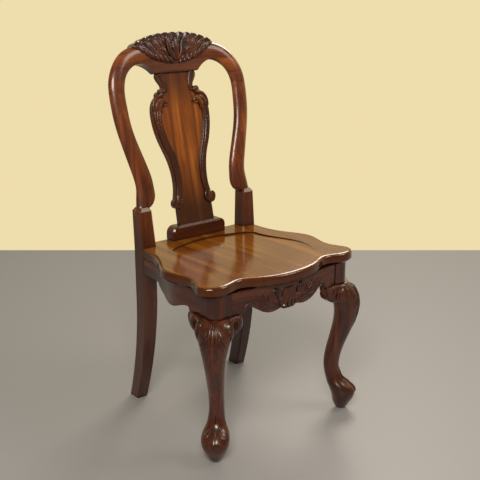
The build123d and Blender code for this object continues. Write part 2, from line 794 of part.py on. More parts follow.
# Knee blocks: the ears beside each knee, cut to the leg and glued under the rails.
def knee_block(reach, bulge):
    """Block along the front rail: its length, and how far its end bulges below the rail."""
    end = post_inner_x - reach
    front = post_front_y - knee_swell
    back = front_rail_y + rail_thickness
    foot = knee_top - knee_block_drop
    with BuildPart() as block:
        with BuildSketch(Plane.XZ.offset(-back)):
            with BuildLine():
                Polyline((end, knee_top), (leg_x - 8, knee_top), (leg_x - 8, foot), (end + 20, foot + 4))
                Spline(
                    (end + 20, foot + 4),
                    (end + 4 - bulge, foot + 0.35 * knee_block_drop),
                    (end - bulge, foot + 0.6 * knee_block_drop),
                    (end, knee_top),
                )
            make_face()
        extrude(amount=back - front)
        with BuildSketch(Plane.XY.offset(knee_top)):
            with BuildLine():
                Spline(
                    (end - bulge, front_rail_y - 1),
                    (end + 0.4 * reach, front_rail_y - 5),
                    (leg_x - 8, front),
                )
                Polyline((leg_x - 8, front), (leg_x - 8, back), (end - bulge, back), (end - bulge, front_rail_y - 1))
            make_face()
        extrude(amount=-2 * knee_block_drop, mode=Mode.INTERSECT)
        crown = block.edges().filter_by(GeomType.BSPLINE).sort_by(Axis.Z)[-1]
        fillet(crown, knee_block_round)
        with BuildSketch(Plane.YZ):
            with BuildLine():
                Polyline(
                    (back, foot),
                    (back, knee_top - 0.2 * knee_block_drop),
                    (front + 0.45 * (back - front), foot),
                    close=True,
                )
            make_face()
        extrude(amount=2 * leg_x, mode=Mode.SUBTRACT)
        add(front_leg_right.part, mode=Mode.SUBTRACT)
    return block.part


leg_diagonal = Plane(origin=(leg_x, leg_y, 0), z_dir=(1, 1, 0))

with BuildPart() as knee_block_front_right:
    add(knee_block(front_knee_reach, 0.5))

with BuildPart() as knee_block_side_right:
    mirror(knee_block(side_knee_reach, side_knee_bulge), about=leg_diagonal)

with BuildPart() as knee_block_front_left:
    mirror(knee_block_front_right.part, about=Plane.YZ)

with BuildPart() as knee_block_side_left:
    mirror(knee_block_side_right.part, about=Plane.YZ)


# Corner blocks: glued into the inner corners of the frame, under the seat. Their outlines run
# along the middle of the rails, which are then cut away.
with BuildPart() as corner_block_front_right:
    with BuildSketch(Plane.XY.offset(seat_under - corner_block_height)):
        with BuildLine():
            Polyline(
                (post_inner_x - front_block_reach, front_rail_tenon_y),
                (post_inner_x, front_rail_tenon_y),
                (post_inner_x, post_rear_y),
                (side_rail_tenon_x, post_rear_y),
                (side_bulge_x - rail_thickness / 2, post_rear_y + front_block_reach),
                close=True,
            )
        make_face()
    extrude(amount=corner_block_height)
    add(front_rail.part, mode=Mode.SUBTRACT)
    add(side_rail_right.part, mode=Mode.SUBTRACT)

with BuildPart() as corner_block_front_left:
    mirror(corner_block_front_right.part, about=Plane.YZ)

with BuildPart() as corner_block_rear_right:
    with BuildSketch(Plane.XY.offset(seat_under - corner_block_height)):
        with BuildLine():
            Polyline(
                (stile_inner_half - rear_block_reach, rear_rail_y),
                (stile_inner_half, rear_rail_y),
                (stile_inner_half, stile_front_y),
                (side_rail_rear_x, stile_front_y),
                (side_rail_rear_x, stile_front_y - rear_block_reach),
                close=True,
            )
        make_face()
    extrude(amount=corner_block_height)
    add(rear_rail.part, mode=Mode.SUBTRACT)
    add(side_rail_right.part, mode=Mode.SUBTRACT)

with BuildPart() as corner_block_rear_left:
    mirror(corner_block_rear_right.part, about=Plane.YZ)


# Loose tenons in the joints between the stiles and the crest.
with BuildPart() as crest_tenons:
    for side in (-1, 1):
        joint = Plane(origin=(side * hoop_half, joint_y, joint_height), x_dir=(1, 0, 0), z_dir=lean_up)
        with BuildSketch(joint):
            Rectangle(crest_tenon_width, crest_tenon_thickness)
        extrude(amount=crest_tenon_length / 2, both=True)


pieces = {
    "seat_panel": seat_panel,
    "rear_leg_right": rear_leg_right,
    "rear_leg_left": rear_leg_left,
    "crest_rail": crest_rail,
    "splat": splat,
    "splat_shoe": splat_shoe,
    "front_leg_right": front_leg_right,
    "front_leg_left": front_leg_left,
    "front_rail": front_rail,
    "side_rail_right": side_rail_right,
    "side_rail_left": side_rail_left,
    "rear_rail": rear_rail,
    "knee_block_front_right": knee_block_front_right,
    "knee_block_front_left": knee_block_front_left,
    "knee_block_side_right": knee_block_side_right,
    "knee_block_side_left": knee_block_side_left,
    "corner_block_front_right": corner_block_front_right,
    "corner_block_front_left": corner_block_front_left,
    "corner_block_rear_right": corner_block_rear_right,
    "corner_block_rear_left": corner_block_rear_left,
    "crest_tenons": crest_tenons,
}
for name, piece in pieces.items():
    piece.part.label = name
    export_step(piece.part, f"parts/{name}.step")
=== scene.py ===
import math

import bpy
from mathutils import Matrix, Vector


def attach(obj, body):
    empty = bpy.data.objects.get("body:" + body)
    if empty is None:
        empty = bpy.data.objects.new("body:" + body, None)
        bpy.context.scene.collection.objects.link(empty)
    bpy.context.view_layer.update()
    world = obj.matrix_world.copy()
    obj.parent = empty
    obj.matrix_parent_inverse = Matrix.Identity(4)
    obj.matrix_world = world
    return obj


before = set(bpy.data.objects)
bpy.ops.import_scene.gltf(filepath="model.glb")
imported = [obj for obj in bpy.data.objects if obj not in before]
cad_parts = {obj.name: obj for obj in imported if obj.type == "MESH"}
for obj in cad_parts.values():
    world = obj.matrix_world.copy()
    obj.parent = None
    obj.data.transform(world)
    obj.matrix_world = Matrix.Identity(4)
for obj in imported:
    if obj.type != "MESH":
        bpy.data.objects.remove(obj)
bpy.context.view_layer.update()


# Front legs: cabriole legs sawn and carved from mahogany, stained red-brown and varnished to
# a full gloss, with a dark glaze and painted shade in the hollows and the edges rubbed a little
# paler.
# The square post above each knee takes the tenons of two rails.
def colour(hex_value):
    """sRGB hex to the linear values that a shader takes."""
    channels = [int(hex_value[i:i + 2], 16) / 255 for i in (1, 3, 5)]
    return [c / 12.92 if c <= 0.04045 else ((c + 0.055) / 1.055) ** 2.4 for c in channels] + [1.0]


def node(tree, kind, links=(), **settings):
    """Adds a shader node, sets its values and links into it as (input, from node, output)."""
    made = tree.nodes.new(kind)
    for key, value in settings.items():
        if hasattr(made, key):
            setattr(made, key, value)
        else:
            made.inputs[key.replace("_", " ")].default_value = value
    for socket, source, output in links:
        tree.links.new(source.outputs[output], made.inputs[socket])
    return made


def grained_wood(
    name, turn, dark, middle, light, glaze_and_shade, roughness, varnish=0.45, pore_relief=0.08,
):
    """Mahogany under stain, glaze and varnish, or bare hardwood with no varnish: turn lays the
    board's length along the pattern's Z. The eye gets long soft bands, fine pores, an uneven
    stain, hollows dark with glaze and painted shade, rubbed edges and the gloss of the varnish."""
    band_width, pore_width, patch_width = 0.024, 0.0022, 0.09
    rubbed_edge, glaze_and_shade_reach, pore_depth = 0.003, 0.008, 0.0006
    material = bpy.data.materials.new(name)
    material.use_nodes = True
    tree = material.node_tree
    tree.nodes.clear()
    place = node(tree, "ShaderNodeTexCoord")
    # The figure runs 16 times as long as it is wide, and the patches of stain three times.
    board = node(tree, "ShaderNodeMapping", [("Vector", place, "Object")], Rotation=turn)
    figure = node(tree, "ShaderNodeMapping", [("Vector", board, "Vector")], Scale=(1, 1, 0.06))
    patches = node(tree, "ShaderNodeMapping", [("Vector", board, "Vector")], Scale=(1, 1, 0.35))
    bands = node(
        tree, "ShaderNodeTexNoise", [("Vector", figure, "Vector")],
        Scale=1 / band_width, Detail=4.0, Roughness=0.55, Distortion=0.45,
    )
    pores = node(
        tree, "ShaderNodeTexNoise", [("Vector", figure, "Vector")],
        Scale=1 / pore_width, Detail=2.0, Roughness=0.6,
    )
    cloud = node(
        tree, "ShaderNodeTexNoise", [("Vector", patches, "Vector")],
        Scale=1 / patch_width, Detail=1.5,
    )
    ramp = node(tree, "ShaderNodeValToRGB", [("Fac", bands, "Fac")])
    ramp.color_ramp.elements[0].position = 0.32
    ramp.color_ramp.elements[0].color = colour(dark)
    ramp.color_ramp.elements[1].position = 0.68
    ramp.color_ramp.elements[1].color = colour(light)
    ramp.color_ramp.elements.new(0.5).color = colour(middle)
    # A Mix node of colours takes its share at socket 0 and the two colours at 6 and 7, and gives
    # the mixture at 2. Pores hold the dark glaze.
    pore_share = node(
        tree, "ShaderNodeMapRange", [("Value", pores, "Fac")],
        From_Min=0.3, From_Max=0.46, To_Min=0.4, To_Max=0.0,
    )
    with_pores = node(
        tree, "ShaderNodeMix", [(0, pore_share, "Result"), (6, ramp, "Color")], data_type="RGBA",
    )
    with_pores.inputs[7].default_value = colour(glaze_and_shade)
    # The stain took unevenly.
    stain_share = node(
        tree, "ShaderNodeMapRange", [("Value", cloud, "Fac")],
        From_Min=0.42, From_Max=0.66, To_Min=0.0, To_Max=0.4,
    )
    toned = node(
        tree, "ShaderNodeMix", [(0, stain_share, "Result"), (6, with_pores, 2)], data_type="RGBA",
    )
    toned.inputs[7].default_value = colour(dark)
    # Edges are rubbed paler. The glaze gathers in the hollows, and painted shade darkens creases
    # and the places where one part comes close to another.
    edge = node(
        tree, "ShaderNodeAmbientOcclusion",
        samples=4, only_local=True, inside=True, Distance=rubbed_edge,
    )
    rub_share = node(
        tree, "ShaderNodeMapRange", [("Value", edge, "AO")],
        From_Min=0.2, From_Max=0.75, To_Min=0.35, To_Max=0.0,
    )
    rubbed = node(
        tree, "ShaderNodeMix", [(0, rub_share, "Result"), (6, toned, 2)], data_type="RGBA",
    )
    rubbed.inputs[7].default_value = colour(light)
    # Painted shade with the glaze: any surface within 8 mm darkens the colour, up to 0.9 of the
    # way to the glaze tone.
    nearby_surfaces = node(tree, "ShaderNodeAmbientOcclusion", samples=6, Distance=glaze_and_shade_reach)
    glaze_and_shade_share = node(
        tree, "ShaderNodeMapRange", [("Value", nearby_surfaces, "AO")],
        From_Min=0.45, From_Max=0.95, To_Min=0.9, To_Max=0.0,
    )
    glazed_and_shaded = node(
        tree, "ShaderNodeMix", [(0, glaze_and_shade_share, "Result"), (6, rubbed, 2)], data_type="RGBA",
    )
    glazed_and_shaded.inputs[7].default_value = colour(glaze_and_shade)
    dull = node(
        tree, "ShaderNodeMapRange", [("Value", bands, "Fac")],
        From_Min=0.3, From_Max=0.7, To_Min=roughness + 0.06, To_Max=roughness,
    )
    relief = node(
        tree, "ShaderNodeBump", [("Height", pores, "Fac")],
        Strength=pore_relief, Distance=pore_depth,
    )
    shader = node(
        tree, "ShaderNodeBsdfPrincipled",
        [("Base Color", glazed_and_shaded, 2), ("Roughness", dull, "Result"), ("Normal", relief, "Normal")],
        IOR=1.46, Specular_IOR_Level=0.5, Coat_Weight=varnish, Coat_Roughness=0.14,
    )
    shader.name = "shader"
    node(tree, "ShaderNodeOutputMaterial", [("Surface", shader, "BSDF")])
    return material


def stain_and_shade(material, tone, share, source, axis, start, end, bow=0.0):
    """Mixes a material's colour towards a tone, for real stains and for painted shade alike, from
    none at start to the full share at end. These are places in metres (source Object) or the way
    that a face looks (source Normal) along an axis, the same on both sides of the chair. bow bends
    the edge of the stain by the square of X."""
    tree = material.node_tree
    shader = tree.nodes["shader"]
    before = shader.inputs["Base Color"].links[0].from_socket
    place = node(tree, "ShaderNodeTexCoord")
    point = node(tree, "ShaderNodeSeparateXYZ", [("Vector", place, source)])
    level = node(tree, "ShaderNodeMath", [(0, point, axis)], operation="ABSOLUTE")
    if bow:
        square = node(
            tree, "ShaderNodeMath", [(0, point, "X"), (1, point, "X")], operation="MULTIPLY",
        )
        level = node(
            tree, "ShaderNodeMath", [(0, square, "Value"), (2, level, "Value")],
            operation="MULTIPLY_ADD",
        )
        level.inputs[1].default_value = bow
    amount = node(
        tree, "ShaderNodeMapRange", [("Value", level, "Value")],
        From_Min=start, From_Max=end, To_Min=0.0, To_Max=share,
    )
    toned = node(tree, "ShaderNodeMix", [(0, amount, "Result")], data_type="RGBA")
    toned.inputs[7].default_value = colour(tone)
    tree.links.new(before, toned.inputs[6])
    tree.links.new(toned.outputs[2], shader.inputs["Base Color"])


def finish_nodes(material, *names):
    """Gives CAD nodes one material."""
    for name in names:
        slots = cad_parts[name].data.materials
        slots.clear()
        slots.append(material)


# Deep red-brown with the grain running up the leg; painted shade turns the posts under the
# seat nearly black.
leg_mahogany = grained_wood(
    "varnished_mahogany_legs", turn=(0, 0, 0),
    dark="#2c1007", middle="#461b0a", light="#642d11", glaze_and_shade="#0c0402", roughness=0.24,
)
# Painted shade: the posts above the knees, under the seat, go nearly black.
stain_and_shade(leg_mahogany, "#270d06", 0.6, "Object", "Z", 0.365, 0.385)
finish_nodes(leg_mahogany, "front_leg_right", "front_leg_left")


# Carving on the knees and feet: a hanging leaf with hooked lobes on each knee, and a toe ridge
# between two small scrolls on each foot. It is cut in the leg itself and glazed darker, with
# painted shade in its hollows.
def carve(name, strokes, lay, material, flat=0.6, smoothing=3):
    """Carved relief. A stroke is a row of (across, up, half width, height) in mm along one leaf,
    bead or scroll. The strokes are melted into one skin, which lay then puts on the wood."""
    mm_per_metre = 1000
    skin_step = 0.0009
    bpy.ops.object.select_all(action="DESELECT")
    bpy.ops.curve.primitive_bezier_curve_add(location=(0, 0, 0))
    relief = bpy.context.object
    relief.name = name
    line = relief.data
    line.splines.clear()
    line.dimensions = "3D"
    line.bevel_depth = 1 / mm_per_metre
    line.bevel_resolution = 3
    line.resolution_u = 6
    line.use_fill_caps = True
    for stroke in strokes:
        spline = line.splines.new("BEZIER")
        spline.bezier_points.add(len(stroke) - 1)
        for point, (across, up, half_width, height) in zip(spline.bezier_points, stroke):
            point.co = (across / mm_per_metre, up / mm_per_metre, height / mm_per_metre)
            point.radius = half_width
            point.handle_left_type = "AUTO"
            point.handle_right_type = "AUTO"
    bpy.ops.object.convert(target="MESH")
    melt = relief.modifiers.new("melt", "REMESH")
    melt.mode = "VOXEL"
    melt.voxel_size = skin_step
    bpy.ops.object.modifier_apply(modifier="melt")
    soften = relief.modifiers.new("soften", "SMOOTH")
    soften.factor = 0.5
    soften.iterations = smoothing
    bpy.ops.object.modifier_apply(modifier="soften")
    for vertex in relief.data.vertices:
        vertex.co = lay(vertex.co.x, vertex.co.y, vertex.co.z * flat)
    bpy.ops.object.mode_set(mode="EDIT")
    bpy.ops.mesh.select_all(action="SELECT")
    bpy.ops.mesh.normals_make_consistent(inside=False)
    bpy.ops.object.mode_set(mode="OBJECT")
    bpy.ops.object.shade_smooth()
    relief.data.materials.append(material)
    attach(relief, "root")


def both_sides(strokes):
    """The strokes and their mirror images across the middle."""
    return strokes + [[(-x, *rest) for x, *rest in stroke] for stroke in strokes]


def first_hit(names, start, direction):
    """Nearest point of the named nodes along a ray."""
    best = None
    for name in names:
        found, point, _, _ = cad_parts[name].ray_cast(start, direction)
        if found and (best is None or (point - start).length < (best - start).length):
            best = point
    return best


leg_x, leg_y = 0.199, -0.208
knee_top = 0.3695


def around_leg(side, out, radius):
    """Lays a carving round a front leg, from its outer diagonal; out is the middle of the wrap."""
    clear_of_leg = 0.15
    lean_start, lean_run, full_lean = 0.335, 0.035, math.radians(45)
    axis = Vector((side * leg_x, leg_y, 0))
    outwards = Vector((side, -1, 0)).normalized()
    middle = axis + outwards * out
    names = [f"front_leg_{'right' if side > 0 else 'left'}"]

    def lay(across, up, height):
        turn = -side * across / radius
        away = Matrix.Rotation(turn, 3, "Z") @ outwards
        start = middle + away * clear_of_leg
        start.z = min(up, knee_top)
        hit = first_hit(names, start, -away)
        point = hit if hit else middle + away * radius
        # Towards its top the knee leans back, and the height of the carving leans up with it.
        tilt = full_lean * min(max((up - lean_start) / lean_run, 0), 1)
        point += (away * math.cos(tilt) + Vector((0, 0, math.sin(tilt)))) * height
        point.z += max(up - knee_top, 0)
        return point

    return lay


# The same wood under a darker glaze and less varnish, with painted shade in its hollows: the
# relief reads dark, with small soft glints.
carved_mahogany = grained_wood(
    "varnished_mahogany_carving", turn=(0, 0, 0),
    dark="#2a1007", middle="#411a0a", light="#5a2910", glaze_and_shade="#080301",
    roughness=0.3, varnish=0.35,
)
# Leaf: a middle rib, then on each side a second rib, two hooked lobes and two small tips.
knee_leaf = [[
    (0, 366, 2.6, -2), (0, 358, 5, -1.2), (0, 342, 5.6, -1.6), (0, 308, 5.8, -1.8),
    (0, 278, 4, -1), (0, 250, 1, -0.5),
]]
knee_leaf += both_sides([
    [(8.4, 366, 2.6, -2), (9, 358, 4.8, -1.2), (10.2, 342, 5.2, -1.6), (11, 314, 5.2, -1.6),
     (13, 294, 3.4, -0.8), (19, 281, 1.2, 0.2)],
    [(17, 338, 2.5, -1), (20.6, 325, 4.4, -1.2), (26, 312, 3.4, -0.6), (33, 303, 1.2, 0.3)],
    [(26, 332, 2, -0.6), (30, 324, 3.6, -0.8), (35, 316, 2.8, -0.4), (41, 310, 1.2, 0.3)],
    [(6, 298, 3, -1), (9, 280, 3.4, -0.8), (12, 268, 2.2, -0.3), (18, 260, 0.9, 0)],
    [(3, 278, 2.4, -1), (5, 262, 2.6, -0.6), (8, 250, 1.6, -0.2), (12, 243, 0.8, 0)],
])
# Toe: a ridge down the middle, then on each side a curl and a short fold.
toe = [[(0, 122, 2, 0), (0, 104, 5, 0.5), (0, 80, 6.5, 1), (0, 62, 5.5, 1), (0, 48, 2, 0)]]
toe += both_sides([
    [(15, 116, 1.5, 0), (22, 104, 3, 0.5), (33, 96, 3.2, 0.5), (41, 84, 3.2, 0.5),
     (37, 71, 3.2, 0.5), (27, 72, 3, 0.5), (26, 81, 2.8, 0.5), (32, 83, 2.2, 0.8)],
    [(12, 66, 1.5, 0), (20, 56, 3, 0.3), (32, 50, 1.5, 0)],
])
for side, hand in ((1, "right"), (-1, "left")):
    carve(
        f"knee_leaf_{hand}", knee_leaf,
        around_leg(side, out=0.010, radius=0.055), carved_mahogany, flat=0.9,
    )
    carve(
        f"toe_carving_{hand}", toe,
        around_leg(side, out=0.022, radius=0.040), carved_mahogany,
    )


# Rear legs: each leg and stile is one board of the same mahogany, sawn to its sweep and
# shaped to a rounded hoop above the shoulder. It takes the tenons of the side and rear rails.
# Warm red-brown, lighter than the frame as painted light on the hoop, with painted shade
# darkening it down to the dark of the frame below the seat.
hoop_mahogany = grained_wood(
    "varnished_mahogany_hoop", turn=(0, 0, 0),
    dark="#4a1e0c", middle="#6e3413", light="#955223", glaze_and_shade="#0e0502", roughness=0.28,
)
# Painted shade: the rear legs darken from the seat down.
stain_and_shade(hoop_mahogany, "#2e1107", 0.8, "Object", "Z", 0.64, 0.46)
finish_nodes(hoop_mahogany, "rear_leg_right", "rear_leg_left")


# Rails and knee blocks: mahogany boards tenoned into the legs, with the grain along each rail,
# and small blocks glued under them beside the knees.
# Dark red-brown like the legs, with the bands lying level.
rail_tones = {
    "dark": "#2f1107", "middle": "#481d0b", "light": "#653012", "glaze_and_shade": "#0c0402",
    "roughness": 0.24,
}
cross_mahogany = grained_wood(
    "varnished_mahogany_cross_rails", turn=(0, math.radians(90), 0), **rail_tones,
)
side_mahogany = grained_wood(
    "varnished_mahogany_side_rails", turn=(math.radians(90), 0, 0), **rail_tones,
)
finish_nodes(
    cross_mahogany, "front_rail", "rear_rail", "knee_block_front_right", "knee_block_front_left",
)
finish_nodes(
    side_mahogany, "side_rail_right", "side_rail_left",
    "knee_block_side_right", "knee_block_side_left",
)


# Scrolls beside the knees: a roll under the rail, cut into an end lobe, an oval lobe with a thin
# rim and a narrow lobe beside the leaf. They are cut across the joint of leg and knee block, on
# the front and on the side.
def beside_knee(side, facing):
    """Lays a carving on the front or side of a knee; across is measured as on the front."""
    clear_of_knee, bare_depth = 0.40, 0.165
    grid_left, grid_low, grid_step = 0.136, 0.304, 0.004
    columns, rows = 26, 14
    hand = "right" if side > 0 else "left"
    names = [f"front_leg_{hand}", f"knee_block_{facing}_{hand}"]

    def depth(across, up):
        if facing == "front":
            start, inwards = Vector((side * across, -clear_of_knee, up)), Vector((0, 1, 0))
        else:
            start = Vector((side * clear_of_knee, leg_y + leg_x - across, up))
            inwards = Vector((-side, 0, 0))
        hit = first_hit(names, start, inwards)
        return (hit - start).length if hit else None

    # Leg and block meet in a step that the carver evens out: the depths on a grid, averaged twice.
    grid = [
        [depth(grid_left + grid_step * i, grid_low + grid_step * j) for j in range(rows)]
        for i in range(columns)
    ]
    for _ in range(2):
        even = []
        for i in range(columns):
            even.append([])
            for j in range(rows):
                around = [
                    grid[a][b] for a in range(max(i - 1, 0), min(i + 2, columns))
                    for b in range(max(j - 1, 0), min(j + 2, rows)) if grid[a][b]
                ]
                even[i].append(sum(around) / len(around) if around else None)
        grid = even

    def lay(across, up, height):
        i = min(max((across - grid_left) / grid_step, 0), columns - 1.001)
        j = min(max((up - grid_low) / grid_step, 0), rows - 1.001)
        corners = []
        for a, b in ((0, 0), (1, 0), (0, 1), (1, 1)):
            share = abs(1 - a - i % 1) * abs(1 - b - j % 1)
            corners.append((grid[int(i) + a][int(j) + b] or bare_depth, share))
        inwards = sum(distance * share for distance, share in corners) - height
        if facing == "front":
            return Vector((side * across, -clear_of_knee + inwards, up))
        return Vector((side * (clear_of_knee - inwards), leg_y + leg_x - across, up))

    return lay


# Scroll: the roll and its filling, a backing for the lobes, then end lobe, oval lobe, narrow
# lobe and rim.
knee_scroll = [
    [(206, 360, 3, -13), (196, 362, 7, -12.4), (178, 363, 8.5, -9), (160, 363, 8.5, -4),
     (146, 363, 8, 0), (141, 363, 6, 1)],
    [(202, 361, 6, -17), (194, 362, 8, -15), (176, 363, 8.4, -14), (156, 363, 7, -11),
     (147, 363, 4, -8)],
    [(142, 354, 16, -11), (160, 348, 20, -17), (180, 342, 25, -24.5), (200, 338, 28, -29),
     (225, 338, 24, -28)],
    [(154, 369, 8, -5), (154, 363, 11.4, -2.6), (153.5, 353, 12.6, 1), (155, 344, 10.4, 1.4),
     (160, 335, 5.6, -0.6)],
    [(190, 368, 7, -14), (188, 362, 12.6, -13.4), (188, 352, 15.8, -9.6), (188, 340, 15.8, -6.4),
     (191, 328, 11.2, -5), (196, 317, 5.6, -4.4), (200, 309, 2.5, -2)],
    [(221, 357, 4, -9), (221, 350, 9, -7.6), (219.5, 340, 11, -7.2), (217, 328, 8.6, -6.4),
     (214, 317, 5, -4), (212, 309, 2, -1)],
    [(170, 352, 1.6, 5), (168, 343, 2, 5), (171, 333, 2, 2.4), (179, 323, 1.8, 0),
     (190, 312, 1.4, -0.4)],
]
for side, hand in ((1, "right"), (-1, "left")):
    for facing in ("front", "side"):
        carve(
            f"knee_scroll_{facing}_{hand}", knee_scroll,
            beside_knee(side, facing), carved_mahogany, flat=0.8,
        )


# Carving of the apron: fluted middle between two curling leaves and two pointed wave leaves,
# with a bead along the lower edge. It is cut in the front rail, which bows forward.
apron_front, apron_bow, apron_half = -0.245, 0.012, 0.172


def on_apron(across, up, height):
    """Lays a carving on the bowed face of the front rail."""
    face = apron_front + apron_bow * (across / apron_half) ** 2
    return Vector((across, face - height, up))


# Leaves: five flutes, then on each side a curling leaf with its vein, a wave leaf with four
# lobes, and the bead.
apron_leaves = [[(0, 410, 3, 2.6), (0, 386, 5, 3), (0, 366, 5.2, 3.2), (0, 356, 2.8, 2.4)]]
apron_leaves += both_sides([
    [(5.4, 410, 3, 2.4), (9.6, 386, 4.8, 2.6), (12.4, 368, 5, 2.8), (13.6, 357, 2.8, 2.2)],
    [(10.8, 409, 3, 2), (18.4, 390, 4.6, 2), (24, 372, 4.6, 2.2), (27, 361, 2.6, 1.8)],
    [(22, 366, 2.5, 0), (30, 384, 5.5, 1), (33, 400, 6, 1.5), (40, 411, 5, 1.5),
     (49, 408, 4, 1), (52, 399, 2.5, 0.5)],
    [(27, 376, 2, 1.5), (37, 394, 2.2, 3), (44, 402, 1.5, 2.5)],
    [(32, 370, 3, 0), (52, 375, 5.5, 0.5), (74, 386, 5.5, 0.8), (94, 400, 3.8, 0.5),
     (110, 411, 1.2, 0)],
    [(54, 378, 3, 0), (61, 391, 4.2, 0.8), (61, 402, 2.2, 0.8), (56, 408, 1, 0.3)],
    [(70, 386, 3, 0), (80, 398, 4, 0.6), (82, 408, 2, 0.5), (78, 414, 1, 0.2)],
    [(58, 372, 3, 0), (76, 373, 4, 0.6), (90, 378, 3, 0.5), (100, 386, 1.2, 0)],
    [(80, 386, 2.5, 0), (98, 390, 3.4, 0.5), (111, 397, 2.2, 0.4), (120, 405, 1, 0)],
    [(137, 374, 1.6, 0), (132, 386, 2, 0), (122, 393, 2.1, 0), (106, 385, 2.1, 0),
     (83, 368.5, 2.1, 0), (53, 360.5, 2.1, 0), (30, 364, 1.6, 0)],
])
carve("apron_carving", apron_leaves, on_apron, carved_mahogany)


# Corner blocks and loose tenons: plain hardwood, planed and left without varnish. The blocks are
# glued into the corners of the frame, and the tenons into the joints of stiles and crest rail.
# Pale straw-brown and dull, with the same open grain.
bare_hardwood = grained_wood(
    "planed_bare_hardwood", turn=(0, math.radians(90), math.radians(45)),
    dark="#8a6840", middle="#a27d50", light="#b58f60", glaze_and_shade="#5b4226",
    roughness=0.6, varnish=0.0,
)
finish_nodes(
    bare_hardwood, "corner_block_front_right", "corner_block_front_left",
    "corner_block_rear_right", "corner_block_rear_left", "crest_tenons",
)


# Seat: one wide mahogany panel, dished for the sitter and notched round the stiles, with the
# grain from front to back. It lies on the rails, posts and blocks.
# Polished smoother than the frame, so that it mirrors the wall; painted shade darkens its
# rounded edge.
seat_mahogany = grained_wood(
    "varnished_mahogany_seat", turn=(math.radians(90), 0, 0),
    dark="#5c2c07", middle="#78430b", light="#925b14", glaze_and_shade="#1c0a03",
    roughness=0.11, varnish=0.2, pore_relief=0.02,
)
# Painted shade: faces turned away from the top, the rounded edge, go dark.
stain_and_shade(seat_mahogany, "#3a1709", 0.85, "Normal", "Z", 0.97, 0.75)
finish_nodes(seat_mahogany, "seat_panel")


# Splat and shoe: the splat is a mahogany board on end, leaning with the back, tenoned into the
# shoe below and the crest rail above. The shoe is a moulded block let into the seat.
# Golden brown on the face of the splat, darker towards its foot and its neck, with painted
# shade on its sawn edges.
back_lean = math.atan(0.225)
splat_mahogany = grained_wood(
    "varnished_mahogany_splat", turn=(back_lean, 0, 0),
    dark="#5a280b", middle="#834413", light="#a86324", glaze_and_shade="#0e0502", roughness=0.24,
)
stain_and_shade(splat_mahogany, "#2c0f06", 0.88, "Object", "Z", 0.68, 0.53)
stain_and_shade(splat_mahogany, "#34140a", 0.6, "Object", "Z", 0.80, 0.88)
# Painted shade: the sawn edges, facing sideways, go dark.
stain_and_shade(splat_mahogany, "#34140a", 0.8, "Normal", "X", 0.4, 0.8)
finish_nodes(splat_mahogany, "splat")
finish_nodes(cross_mahogany, "splat_shoe")


# Carving of the splat: three beads run up each edge band from a rolled end to a leafy scroll.
# It is cut in the board itself, and takes the same glaze and painted shade as the carving of the
# legs.
lean_up = Vector((0, math.sin(back_lean), math.cos(back_lean)))
lean_front = Vector((0, -math.cos(back_lean), math.sin(back_lean)))
splat_foot_y, splat_foot_z, splat_face = 0.142, 0.492, 0.0105


def on_splat(across, up, height):
    """Lays a carving on the leaning face of the splat, measured from its foot."""
    foot = Vector((across, splat_foot_y, splat_foot_z))
    return foot + lean_up * up + lean_front * (splat_face + height)


# Beads: three lines between the two edges of a band, given as (across, up) in mm.
band_outer = [(57, 72), (51.5, 108), (59.5, 176), (80, 233), (90, 289), (87, 318)]
band_inner = [(41, 72), (33.5, 117), (39.5, 176), (59, 233), (68, 289), (66, 310)]
beads = []
for share, half_width, lift in ((0.14, 3.3, 0), (0.5, 3.6, 0.6), (0.86, 3.0, 0)):
    bead = []
    for outer, inner in zip(band_outer, band_inner):
        across = outer[0] + (inner[0] - outer[0]) * share
        up = outer[1] + (inner[1] - outer[1]) * share
        bead.append((across, up, half_width, lift))
    beads.append(bead)
# Scrolls: the outer curl and its ball, the inner curl, the leaf between them, three folds of
# the rolled end, and a roll up the neck.
splat_scrolls = beads + [
    [(89, 312, 3.4, 0.5), (87, 328, 5, 1), (80, 341, 5.6, 1.5), (70, 349, 5.6, 1.5),
     (60, 351, 5, 1.5), (54, 353, 4, 1)],
    [(59, 364, 5, 0.5), (54, 360, 8, 0.5), (50, 354, 5, 0.5)],
    [(66, 306, 3, 0), (65, 320, 4, 1), (58, 329, 5, 1.5), (50, 331, 8.4, 0.5),
     (44, 328, 4.4, 0.5)],
    [(77, 306, 3, 0.5), (77, 322, 5.4, 1), (72, 333, 5.6, 1.5), (64, 340, 3.4, 1)],
    [(41, 76, 3.2, 0), (40, 66, 5, 0.5), (43, 55, 4.4, 0.5), (48, 50, 2.4, 0)],
    [(52, 78, 4, 0.5), (53, 68, 6.4, 1), (54, 58, 7, 1), (54, 50, 3, 0)],
    [(61, 76, 3, 0), (66, 68, 5, 0.5), (66, 58, 4.6, 0.5), (62, 51, 2.4, 0)],
    [(42, 358, 5, -4.6), (41, 372, 7.6, -6.8), (44, 386, 8.6, -7.6), (51, 408, 9, -8)],
]
carve("splat_carving", both_sides(splat_scrolls), on_splat, carved_mahogany)


# Crest rail: a shaped mahogany rail with the grain across, standing on the two stiles.
# The hoop's lighter tones, painted light, run into it, with painted shade towards the middle;
# its shell is as dark as the other carving, down to the curve of the lower edge.
crest_mahogany = grained_wood(
    "varnished_mahogany_crest", turn=(0, math.radians(90), 0),
    dark="#4a1e0c", middle="#6e3413", light="#955223", glaze_and_shade="#0e0502", roughness=0.28,
)
# Painted shade: darker towards the middle of the rail.
stain_and_shade(crest_mahogany, "#34140a", 0.6, "Object", "X", 0.15, 0.08)
stain_and_shade(crest_mahogany, "#2a1007", 0.85, "Object", "Z", 0.918, 0.926, bow=-2.81)
finish_nodes(crest_mahogany, "crest_rail")


